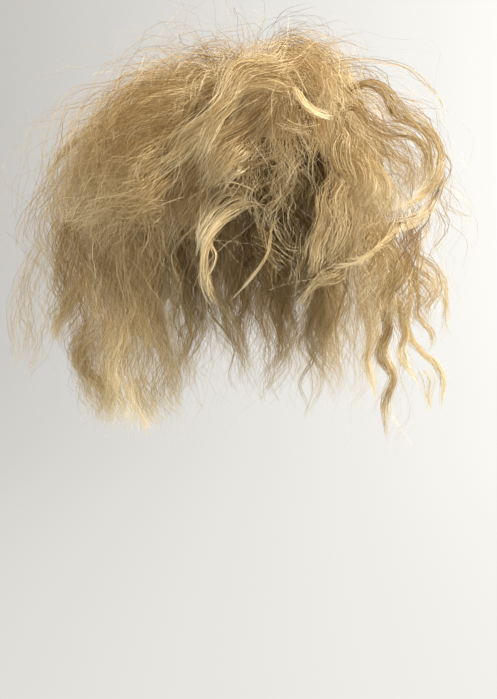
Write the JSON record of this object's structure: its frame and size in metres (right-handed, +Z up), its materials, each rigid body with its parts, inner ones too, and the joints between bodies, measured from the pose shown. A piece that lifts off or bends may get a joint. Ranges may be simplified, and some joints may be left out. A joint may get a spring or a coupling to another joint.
{
  "type": "hair topper",
  "caption": "Wavy blond hair topper: teased locks knotted on a small domed net base with snap clips, open at the face and falling past the chin at the sides and back.",
  "frame": {"origin": "where the middle of the base's inside sits on the crown of the wearer's head", "axes": "+Z up, the wearer's face towards -Y, +X to the right of someone who faces the wearer"},
  "size_m": [0.3436, 0.282, 0.3544],
  "materials": {
    "hair": "satin",
    "net": "matt",
    "clip": "gloss"
  },
  "bodies": {
    "root": {"base_cap": "net", "clip_right": "clip", "clip_back": "clip", "clip_left": "clip", "clip_front": "clip", "fringe_hair": "hair", "right_hair": "hair", "back_right_hair": "hair", "back_left_hair": "hair", "left_hair": "hair"}
  },
  "joints": []
}
